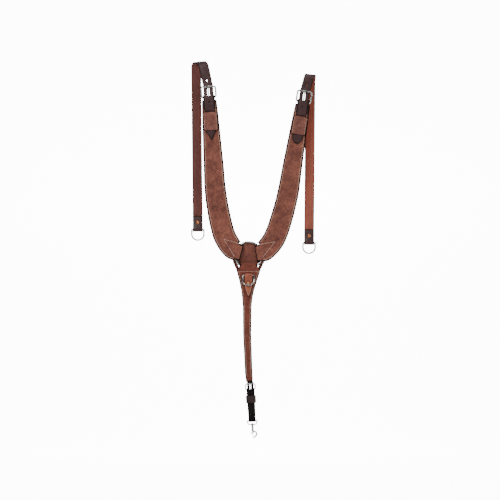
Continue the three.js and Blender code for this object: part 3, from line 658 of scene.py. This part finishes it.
def flesh_leather(name, code):
    """Flesh side of harness leather: paler than the grain, matt, with loose fibres along the strap."""
    material, tree, where, shader = new_material(name)
    stretch = add_node(tree, "ShaderNodeMapping", inputs={"Scale": (1.0, 1.0, 0.16)}, links={"Vector": where})
    lengthwise = stretch.outputs["Vector"]
    fibres = [(0.28, shaded(code, 0.74)), (0.52, linear(code)), (0.76, shaded(code, 1.22))]
    clouds = [(0.3, [0.82, 0.8, 0.82, 1]), (0.5, [1, 1, 1, 1]), (0.72, [1.16, 1.12, 1.08, 1])]
    colour = mottled(tree, [(lengthwise, grit(1.5, 4, 0.65, 0.3), fibres), (where, grit(40), clouds)], 0.85)
    tree.links.new(colour, shader.inputs["Base Color"])
    tree.links.new(relief(tree, lengthwise, grit(0.9, 4, 0.7), 0.5, 0.4), shader.inputs["Normal"])
    shader.inputs["Roughness"].default_value = 0.88
    shader.inputs["Specular IOR Level"].default_value = 0.3
    return material


def dyed_edge(name, code):
    """Burnished edge, dyed black: dull, with a few fibres showing through."""
    material, tree, where, shader = new_material(name)
    fibres = [(0.35, linear(code)), (0.8, shaded(code, 2.2))]
    tree.links.new(mottled(tree, [(where, grit(2.5), fibres)]), shader.inputs["Base Color"])
    tree.links.new(relief(tree, where, grit(0.8), 0.3, 0.2), shader.inputs["Normal"])
    shader.inputs["Roughness"].default_value = 0.75
    shader.inputs["Specular IOR Level"].default_value = 0.12
    return material


def waxed_thread(name, code):
    """Waxed polyester thread: off-white, laid in twisted strands."""
    material, tree, where, shader = new_material(name)
    wax = [(0.3, shaded(code, 0.78)), (0.65, linear(code))]
    tree.links.new(mottled(tree, [(where, grit(5, 2), wax)]), shader.inputs["Base Color"])
    # Real strands lie about 0.6 mm apart. These bands are drawn about twelve times as wide.
    twist = add_node(tree, "ShaderNodeTexWave", {"bands_direction": "DIAGONAL"},
                     {"Scale": per_metre(0.6) / 20, "Distortion": 1.0}, {"Vector": where})
    bump = add_node(tree, "ShaderNodeBump", inputs={"Strength": 0.4, "Distance": 0.12 * MM},
                    links={"Height": twist.outputs["Fac"]})
    tree.links.new(bump.outputs["Normal"], shader.inputs["Normal"])
    shader.inputs["Roughness"].default_value = 0.6
    return material


def nickel_plate(name):
    """Nickel plate on steel: a warm mirror, tarnished grey in patches, with faint polishing marks."""
    material, tree, where, shader = new_material(name)
    tarnish = [(0.36, linear("5c5a57")), (0.62, linear("bdbcb8"))]
    tree.links.new(mottled(tree, [(where, grit(7), tarnish)]), shader.inputs["Base Color"])
    tree.links.new(uneven_polish(tree, where, grit(3, 4), 0.04, 0.14), shader.inputs["Roughness"])
    tree.links.new(relief(tree, where, grit(1.2), 0.12, 0.1), shader.inputs["Normal"])
    shader.inputs["Metallic"].default_value = 1.0
    return material


def polished_copper(name):
    """Copper rivet, hammered and rubbed bright, a little brown where it is handled."""
    material, tree, where, shader = new_material(name)
    handled = [(0.32, linear("94563a")), (0.68, linear("d08d62"))]
    tree.links.new(mottled(tree, [(where, grit(3), handled)]), shader.inputs["Base Color"])
    tree.links.new(relief(tree, where, grit(2.2, 2), 0.35, 0.3), shader.inputs["Normal"])
    shader.inputs["Metallic"].default_value = 1.0
    shader.inputs["Roughness"].default_value = 0.3
    return material


def leather_set(kind):
    """Materials of the outer skin, the inner skin and the edge, for one kind of leather."""
    colours = bpy.context.scene.leather_colours
    edge = dyed_edge("black_edge_dye", colours.edge)
    if kind in ("left", "right"):
        # Painted light: the left flesh side takes the darker copy as painted shade, and the right flesh side the
        # lighter, lit copy.
        flesh = flesh_leather(f"{kind}_tug_flesh_painted_side_light", getattr(colours, f"{kind}_flesh"))
        return [grain_leather("tug_grain_oiled", colours.grain), flesh, edge]
    if kind == "dark":
        dark = grain_leather("dark_harness_grain", colours.dark, gloss=0.5)
        return [dark, flesh_leather("dark_flesh_side", colours.dark_flesh), edge]
    face = rough_out_leather(f"{kind}_rough_out", getattr(colours, kind))
    return [face, flesh_leather(f"{kind}_back", colours.right_flesh), edge]


def thread_material():
    """The one thread that all the seams are sewn with."""
    return waxed_thread("waxed_thread", bpy.context.scene.leather_colours.thread)


# ---------------------------------------------------------------- leather pieces


class BREASTCOLLAR_OT_arms(bpy.types.Operator):
    """Build the two contoured shoulder arms with their linings and seams"""

    bl_idname = "breastcollar.arms"
    bl_label = "Shoulder arms"

    def execute(self, context):
        sizes = context.scene.collar_sizes
        for side in ("left", "right"):
            node = f"{side}_collar_face"
            face = leather_piece(node, f"{side}_arm_face", leather_set("collar"))
            leather_piece(f"{side}_collar_lining", f"{side}_arm_lining", leather_set("collar"))
            edge_binding(node, f"{side}_arm_edge", width=sizes.edge_dye, rise=0.4)
            outline = front_outline(node)
            clear_of_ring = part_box("centre_ring")[1].x - RING_CENTRE.x + 3 * MM
            lines = runs_of(inset_line(outline, sizes.collar_inset * MM),
                            lambda p: (p - Vector((RING_CENTRE.x, RING_CENTRE.z))).length > clear_of_ring)
            lines.append(tab_seam(node))
            sewn(f"{side}_arm_stitching", lines, face, BODY_OF[node], thread_material())
        return {"FINISHED"}


def tab_seam(node):
    """The V of stitches that holds the turned-back tab, from ring edge to point to ring edge."""
    points = [vert.co for vert in NODES[node].data.vertices]
    back = max(p.y for p in points)
    tab = [Vector((p.x, p.z)) for p in points if p.y > back - 0.1 * MM]
    centre = Vector((RING_CENTRE.x, RING_CENTRE.z))
    far = max(tab, key=lambda p: (p - centre).length)
    high = max(tab, key=lambda p: p.y - abs(p.x - centre.x) * 2)
    low = min(tab, key=lambda p: p.y)
    point = far.lerp(centre, 0.11)
    top = high.lerp(low, -0.06).lerp(far, 0.04)
    bottom = low.lerp(high, 0.03).lerp(far, 0.16)
    rows = [top.lerp(point, i / 30) for i in range(31)] + [point.lerp(bottom, i / 30) for i in range(1, 31)]
    return rows


class BREASTCOLLAR_OT_safe(bpy.types.Operator):
    """Build the leather that lies behind the ring"""

    bl_idname = "breastcollar.safe"
    bl_label = "Ring safe"

    def execute(self, context):
        leather_piece("ring_safe", "ring_safe_leather", leather_set("collar"))
        return {"FINISHED"}


class BREASTCOLLAR_OT_tugs(bpy.types.Operator):
    """Build the two tug straps, with a grain side, a flesh side and rubbed edges"""

    bl_idname = "breastcollar.tugs"
    bl_label = "Tug straps"

    def execute(self, context):
        for side in ("left", "right"):
            node = f"{side}_tug_strap"
            leather_piece(node, f"{side}_tug_leather", leather_set(side))
            edge_binding(node, f"{side}_tug_edge", width=1.6, rise=0.22, which=(0, 1))
        return {"FINISHED"}


class BREASTCOLLAR_OT_keepers(bpy.types.Operator):
    """Build the sewn keepers and the buckle chapes on the arms"""

    bl_idname = "breastcollar.keepers"
    bl_label = "Keepers and chapes"

    def execute(self, context):
        for side in ("left", "right"):
            node = f"{side}_strap_keeper"
            keeper = leather_piece(node, f"{side}_keeper_leather", leather_set("keeper"))
            edge_binding(node, f"{side}_keeper_edge", width=1.0, rise=0.2)
            lines = keeper_seams(node, front_outline(node))
            sewn(f"{side}_keeper_stitching", lines, keeper, BODY_OF[node], thread_material(), 0.7)
            leather_piece(f"{side}_buckle_chape", f"{side}_chape_leather", leather_set("dark"))
        return {"FINISHED"}


def keeper_seams(node, outline):
    """The rows of stitches down the two sides of a keeper, without its open ends."""
    _, across = hinge_of(f"{node.split('_')[0]}_tongue_hinge")
    level = Vector((across.x, across.z)).normalized()
    middle = Vector((centre_of(node).x, centre_of(node).z))
    inset, half_passage = 2.2 * MM, 14.5 * MM
    return runs_of(inset_line(outline, inset), lambda p: abs((p - middle).dot(level)) > half_passage)


class BREASTCOLLAR_OT_belly(bpy.types.Operator):
    """Build the belly strap with its wide lining and seams"""

    bl_idname = "breastcollar.belly"
    bl_label = "Belly strap"

    def execute(self, context):
        sizes = context.scene.collar_sizes
        face = leather_piece("belly_strap_face", "belly_face_leather", leather_set("belly"))
        leather_piece("belly_strap_lining", "belly_lining_leather", leather_set("belly"))
        # The border ends where the strap folds round the ring, and the seam starts below the fold.
        fold_top = RING_CENTRE.z - 21 * MM
        seam_top = RING_CENTRE.z - 41 * MM
        edge_binding("belly_strap_face", "belly_face_edge", width=2.7, rise=0.35, top=fold_top)
        edge_binding("belly_strap_lining", "belly_lining_edge", width=2.0, rise=0.1, which=(0, 1))
        seam_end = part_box("belly_strap_lining")[0].z + 3 * MM
        inset = sizes.belly_inset * MM
        lines = runs_of(inset_line(front_outline("belly_strap_face"), inset),
                        lambda p: seam_end < p.y < seam_top)
        ends = [p for line in lines for p in (line[0], line[-1]) if p.y > seam_top - 4 * MM]
        if len(ends) >= 2:
            left = min(ends, key=lambda p: p.x)
            right = max(ends, key=lambda p: p.x)
            lines.append([left.lerp(right, i / 20) for i in range(21)])
        sewn("belly_stitching", lines, face, BODY_OF["belly_strap_face"], thread_material())
        return {"FINISHED"}


class BREASTCOLLAR_OT_tie_tab(bpy.types.Operator):
    """Build the pointed tab that holds the tie-down dee"""

    bl_idname = "breastcollar.tie_tab"
    bl_label = "Tie-down tab"

    def execute(self, context):
        tab = leather_piece("tie_down_tab", "tie_down_tab_leather", leather_set("tie"))
        edge_binding("tie_down_tab", "tie_down_edge", width=1.1, rise=0.2, min_length=40)
        below_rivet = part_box("tie_down_rivet")[0].z
        inset = 2.6 * MM
        lines = runs_of(inset_line(front_outline("tie_down_tab"), inset), lambda p: p.y < below_rivet)
        sewn("tie_down_stitching", lines, tab, BODY_OF["tie_down_tab"], thread_material(), 0.85)
        return {"FINISHED"}


class BREASTCOLLAR_OT_girth_leather(bpy.types.Operator):
    """Build the chape and the sliding keeper at the strap's lower end"""

    bl_idname = "breastcollar.girth_leather"
    bl_label = "Girth end leather"

    def execute(self, context):
        leather_piece("girth_chape", "girth_chape_leather", leather_set("belly"))
        edge_binding("girth_chape", "girth_chape_edge", width=3.0, rise=0.2, which=(0, 1))
        leather_piece("girth_keeper", "girth_keeper_leather", leather_set("dark"))
        return {"FINISHED"}


# ---------------------------------------------------------------- hardware


def spread_along(node, origin, direction):
    """Lowest and highest distance of a node's points along a direction."""
    reach = [(vert.co - origin).dot(direction) for vert in NODES[node].data.vertices]
    return min(reach), max(reach)


def arc_points(centre, across, up, radius_a, radius_b, start, stop, steps):
    """Points on an ellipse from start to stop degrees. across is 0 degrees and up is 90."""
    points = []
    for i in range(steps + 1):
        angle = math.radians(start + (stop - start) * i / steps)
        points.append(centre + across * radius_a * math.cos(angle) + up * radius_b * math.sin(angle))
    return points


def metal_object(name, bm, nodes, material=None):
    """A metal piece that stands in for its CAD nodes, in bright nickel if no material is given."""
    mesh = finished_mesh(bm, name)
    mesh.materials.append(material or nickel_plate("bright_nickel_plate"))
    piece = new_object(name, mesh, BODY_OF[nodes[0]])
    return replace_nodes(piece, *nodes)


class BREASTCOLLAR_OT_ring(bpy.types.Operator):
    """Build the centre ring"""

    bl_idname = "breastcollar.ring"
    bl_label = "Centre ring"

    def execute(self, context):
        low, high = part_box("centre_ring")
        wire = 2.5 * MM
        radius = (high.x - low.x) / 2 - wire
        points = arc_points(RING_CENTRE, Vector((1, 0, 0)), Vector((0, 0, 1)), radius, radius, 0, 360, 120)[:-1]
        bm = bmesh.new()
        tube_mesh(bm, points, wire, Vector((0, 1, 0)), closed=True, sides=24)
        metal_object("centre_ring_metal", bm, ["centre_ring"])
        return {"FINISHED"}


def dee(name, node, joint, wire, corner):
    """A welded dee: a straight bar on the hinge line and a round bow."""
    bar, across = hinge_of(joint)
    down = centre_of(node) - bar
    down = (down - across * down.dot(across)).normalized()
    half = spread_along(node, bar, across)[1] - wire
    drop = spread_along(node, bar, down)[1] - wire
    bow = min(half, drop - corner)
    up = -down
    points = [bar + across * (half - corner) * t / 12 for t in range(-12, 13)]
    points += arc_points(bar + across * (half - corner) + down * corner, across, up, corner, corner, 80, 0, 8)
    points += arc_points(bar + down * (drop - bow), across, up, half, bow, 0, -180, 48)
    points += arc_points(bar - across * (half - corner) + down * corner, across, up, corner, corner, 180, 100, 8)
    bm = bmesh.new()
    tube_mesh(bm, points, wire, across.cross(down).normalized(), closed=True, sides=20)
    return metal_object(name, bm, [node])


class BREASTCOLLAR_OT_dees(bpy.types.Operator):
    """Build the two saddle dees and the tie-down dee"""

    bl_idname = "breastcollar.dees"
    bl_label = "Dees"

    def execute(self, context):
        for side in ("left", "right"):
            dee(f"{side}_saddle_dee", f"{side}_tug_dee", f"{side}_dee_hinge", wire=2.1 * MM, corner=2.9 * MM)
        dee("tie_down_dee_metal", "tie_down_dee", "tie_down_dee_hinge", wire=1.9 * MM, corner=2.7 * MM)
        return {"FINISHED"}


def buckle_frame(name, node, joint, wire, corner):
    """A cast frame with two bars and rounded corners, leaning forward from its heel bar."""
    heel, across = hinge_of(joint)
    low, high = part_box(node)
    middle = (low + high) / 2
    rise = middle - heel
    rise = rise - across * rise.dot(across)
    up = rise.normalized()
    middle = heel + rise
    half_height = rise.length
    half_width = spread_along(node, middle, across)[1] - wire
    points = []
    for sign_x, sign_z, start in ((1, 1, 90), (1, -1, 0), (-1, -1, -90), (-1, 1, -180)):
        corner_centre = middle + across * sign_x * (half_width - corner) + up * sign_z * (half_height - corner)
        points += arc_points(corner_centre, across, up, corner, corner, start, start - 90, 10)
    bm = bmesh.new()
    dense = resampled(points, 0.8 * MM, closed=True)[:-1]
    tube_mesh(bm, dense, wire, across.cross(up).normalized(), closed=True, sides=20)
    return metal_object(name, bm, [node])


def tongue(name, node, joint, bar, blade, rise_over):
    """A buckle tongue: curled round the heel bar, tapered, with its tip bent over the top bar."""
    heel, across = hinge_of(joint)
    up = across.cross(FRONT).normalized()
    if up.z < 0:
        up = -up
    reach = spread_along(node, heel, up)[1]
    front = -spread_along(node, heel, FRONT)[1]
    tip = heel + up * (reach - blade * 0.4) + FRONT * (-front - blade)
    bm = bmesh.new()
    curl = arc_points(heel, up, FRONT, bar + blade * 0.7, bar + blade * 0.7, 20, 380, 40)[:-1]
    tube_mesh(bm, curl, blade * 0.72, across, closed=True, sides=14)
    root = heel + FRONT * (bar + blade * 0.9) + up * blade
    points = [root.lerp(tip, i / 24) for i in range(25)]
    points = [p + FRONT * rise_over * math.sin(math.pi * i / 24) for i, p in enumerate(points)]
    line, radii = rounded_ends(points, blade)
    radii = [r * (1.12 - 0.3 * i / len(radii)) for i, r in enumerate(radii)]
    tube_mesh(bm, line, radii, across, sides=16)
    return metal_object(name, bm, [node])


class BREASTCOLLAR_OT_buckles(bpy.types.Operator):
    """Build the two shoulder buckles and the girth buckle with their tongues"""

    bl_idname = "breastcollar.buckles"
    bl_label = "Buckles"

    def execute(self, context):
        for side in ("left", "right"):
            joint = f"{side}_tongue_hinge"
            buckle_frame(f"{side}_buckle_metal", f"{side}_buckle_frame", joint, wire=2.25 * MM, corner=4.5 * MM)
            tongue(f"{side}_tongue_metal", f"{side}_buckle_tongue", joint,
                   bar=2.5 * MM, blade=1.5 * MM, rise_over=0.3 * MM)
        buckle_frame("girth_buckle_metal", "girth_buckle_frame", "girth_tongue_hinge", wire=1.6 * MM, corner=6.5 * MM)
        tongue("girth_tongue_metal", "girth_buckle_tongue", "girth_tongue_hinge",
               bar=1.85 * MM, blade=1.1 * MM, rise_over=0.2 * MM)
        return {"FINISHED"}


class BREASTCOLLAR_OT_rivets(bpy.types.Operator):
    """Build the copper rivets with their washers"""

    bl_idname = "breastcollar.rivets"
    bl_label = "Rivets"

    def execute(self, context):
        for node in ("left_tug_rivet", "right_tug_rivet", "tie_down_rivet"):
            low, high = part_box(node)
            middle = (low + high) / 2
            radius = 4.5 * MM
            face = Vector((middle.x, low.y, middle.z))
            depth = high.y - low.y
            # From the back: the washer, the shank, and the domed head with its struck middle.
            profile = [(0, depth), (0.75 * radius, depth), (0.8 * radius, depth - 0.3 * MM),
                       (0.78 * radius, depth - 0.9 * MM), (0.42 * radius, depth - 0.9 * MM), (0.42 * radius, 1.3 * MM),
                       (0.97 * radius, 1.3 * MM), (radius, 1.1 * MM), (0.98 * radius, 0.85 * MM),
                       (0.88 * radius, 0.62 * MM), (0.56 * radius, 0.5 * MM), (0.52 * radius, 0.62 * MM),
                       (0.48 * radius, 0.45 * MM), (0.4 * radius, 0.18 * MM), (0.22 * radius, 0.04 * MM), (0, 0)]
            bm = bmesh.new()
            turned_mesh(bm, profile, face, Vector((0, 1, 0)))
            metal_object(f"{node}_metal", bm, [node], polished_copper("polished_copper"))
        return {"FINISHED"}


def cast_copy(node, name, voxel_mm, smoothing):
    """A cast piece: the CAD solid with its corners run together as poured metal has them."""
    mesh = NODES[node].data.copy()
    piece = bpy.data.objects.new(name, mesh)
    bpy.context.scene.collection.objects.link(piece)
    bpy.context.view_layer.objects.active = piece
    remesh = piece.modifiers.new("cast", "REMESH")
    remesh.mode = "VOXEL"
    remesh.voxel_size = voxel_mm * MM
    soften = piece.modifiers.new("soften", "SMOOTH")
    soften.factor = 0.5
    soften.iterations = smoothing
    evaluated = piece.evaluated_get(bpy.context.evaluated_depsgraph_get())
    result = bpy.data.meshes.new_from_object(evaluated)
    piece.modifiers.clear()
    piece.data = smooth_shaded(result)
    piece.data.materials.clear()
    piece.data.materials.append(nickel_plate("bright_nickel_plate"))
    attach(piece, BODY_OF[node])
    return replace_nodes(piece, node)


class BREASTCOLLAR_OT_snap(bpy.types.Operator):
    """Build the swivel snap with its eye, body, trigger and pin"""

    bl_idname = "breastcollar.snap"
    bl_label = "Swivel snap"

    def execute(self, context):
        cast_copy("snap_eye", "snap_eye_metal", voxel_mm=0.3, smoothing=3)
        cast_copy("snap_body", "snap_body_metal", voxel_mm=0.28, smoothing=4)
        cast_copy("snap_trigger", "snap_trigger_metal", voxel_mm=0.25, smoothing=3)
        cast_copy("snap_trigger_pin", "snap_pin_metal", voxel_mm=0.2, smoothing=1)
        return {"FINISHED"}


# ---------------------------------------------------------------- stage


class BREASTCOLLAR_OT_stage(bpy.types.Operator):
    """Build the floor, the lit paper sweep, the soft lights and the camera"""

    bl_idname = "breastcollar.stage"
    bl_label = "Stage"

    def execute(self, context):
        settings = context.scene.stage_settings
        low, high = Vector(CAD_BOX[0]), Vector(CAD_BOX[1])
        middle = (low + high) / 2
        floor_height, floor_width, half_depth = low.z - 0.2, 12.0, 6.0
        sweep_width, paper_gap = 2.05, 0.002
        floor_sheet("floor", [(-half_depth, floor_height), (half_depth, floor_height)], floor_width,
                    settings.floor, glow=0)
        floor_sheet("paper_sweep", sweep_profile(floor_height + paper_gap), sweep_width,
                    settings.floor, settings.sweep_light)
        for name, offset, size, power in (("key_light", (-1.3, -2.6, 1.7), 1.5, 84),
                                          ("fill_light", (2.2, -2.4, 0.2), 1.7, 38),
                                          ("top_light", (0.2, -0.2, 2.4), 1.4, 22)):
            soft_light(name, middle + Vector(offset), middle, size, power)
        world = bpy.data.worlds.new("studio_world")
        context.scene.world = world
        world.use_nodes = True
        background = world.node_tree.nodes["Background"]
        background.inputs["Color"].default_value = linear("ffffff")
        background.inputs["Strength"].default_value = 0.22
        camera_data = bpy.data.cameras.new("front_camera")
        camera = bpy.data.objects.new("front_camera", camera_data)
        context.scene.collection.objects.link(camera)
        # The middle of the view lies a little to the right of the ring's centre and above it.
        aim = RING_CENTRE + Vector((3.6, 0, 13.2)) * MM
        film_width = 36
        camera.location = (aim.x, -settings.distance, aim.z)
        camera.rotation_euler = (math.radians(90), 0, 0)
        camera_data.sensor_width = film_width
        camera_data.lens = film_width * settings.distance / settings.view_width
        camera_data.clip_end = 60
        context.scene.camera = camera
        return {"FINISHED"}


def sweep_profile(height):
    """Side view of a paper sweep: along the floor, round a bend and up the wall."""
    start, wall, bend, top, steps = 0.28, 2.4, 0.9, 1.75, 16
    profile = [(start, height), (wall - bend, height)]
    for i in range(1, steps + 1):
        angle = math.radians(90 * i / steps)
        profile.append((wall - bend + bend * math.sin(angle), height + bend * (1 - math.cos(angle))))
    profile.append((wall, height + top))
    return profile


def floor_sheet(name, profile, width, colour, glow):
    """A sheet of pale paper, width wide, along a side view of (y, height) points."""
    bm = bmesh.new()
    rows = [[bm.verts.new((x, y, z)) for x in (-width / 2, width / 2)] for y, z in profile]
    for a, b in zip(rows, rows[1:]):
        bm.faces.new((a[0], a[1], b[1], b[0]))
    mesh = finished_mesh(bm, name)
    material, tree, where, shader = new_material(f"{name}_paper")
    tones = [(0.3, linear(colour)), (0.7, shaded(colour, 0.99))]
    tree.links.new(mottled(tree, [(where, grit(400, 1), tones)]), shader.inputs["Base Color"])
    shader.inputs["Roughness"].default_value = 0.9
    shader.inputs["Emission Color"].default_value = linear(colour)
    shader.inputs["Emission Strength"].default_value = glow
    mesh.materials.append(material)
    sheet = bpy.data.objects.new(name, mesh)
    bpy.context.scene.collection.objects.link(sheet)


def soft_light(name, place, target, size, power):
    """A round soft light that faces its target."""
    data = bpy.data.lights.new(name, "AREA")
    data.shape = "DISK"
    data.size = size
    data.energy = power
    light = bpy.data.objects.new(name, data)
    bpy.context.scene.collection.objects.link(light)
    light.location = place
    light.rotation_euler = (target - place).to_track_quat("-Z", "Y").to_euler()


# ---------------------------------------------------------------- add-on


OPERATORS = (
    BREASTCOLLAR_OT_arms,
    BREASTCOLLAR_OT_safe,
    BREASTCOLLAR_OT_tugs,
    BREASTCOLLAR_OT_keepers,
    BREASTCOLLAR_OT_belly,
    BREASTCOLLAR_OT_tie_tab,
    BREASTCOLLAR_OT_girth_leather,
    BREASTCOLLAR_OT_ring,
    BREASTCOLLAR_OT_dees,
    BREASTCOLLAR_OT_buckles,
    BREASTCOLLAR_OT_rivets,
    BREASTCOLLAR_OT_snap,
    BREASTCOLLAR_OT_stage,
)


class BREASTCOLLAR_PT_panel(bpy.types.Panel):
    """Sizes, colours and build steps of the breast collar"""

    bl_idname = "BREASTCOLLAR_PT_panel"
    bl_label = "Breast collar"
    bl_space_type = "VIEW_3D"
    bl_region_type = "UI"
    bl_category = "Breast collar"

    def draw(self, context):
        scene = context.scene
        for settings in (scene.collar_sizes, scene.leather_colours, scene.stage_settings):
            box = self.layout.box()
            for name in settings.__annotations__:
                box.prop(settings, name)
        for operator in OPERATORS:
            self.layout.operator(operator.bl_idname)


CLASSES = (CollarSizes, LeatherColours, StageSettings, *OPERATORS, BREASTCOLLAR_PT_panel)


def register():
    for cls in CLASSES:
        bpy.utils.register_class(cls)
    bpy.types.Scene.collar_sizes = bpy.props.PointerProperty(type=CollarSizes)
    bpy.types.Scene.leather_colours = bpy.props.PointerProperty(type=LeatherColours)
    bpy.types.Scene.stage_settings = bpy.props.PointerProperty(type=StageSettings)


def unregister():
    del bpy.types.Scene.stage_settings
    del bpy.types.Scene.leather_colours
    del bpy.types.Scene.collar_sizes
    for cls in reversed(CLASSES):
        bpy.utils.unregister_class(cls)


def main():
    register()
    for operator in OPERATORS:
        group, name = operator.bl_idname.split(".")
        getattr(getattr(bpy.ops, group), name)()


if __name__ == "__main__":
    main()
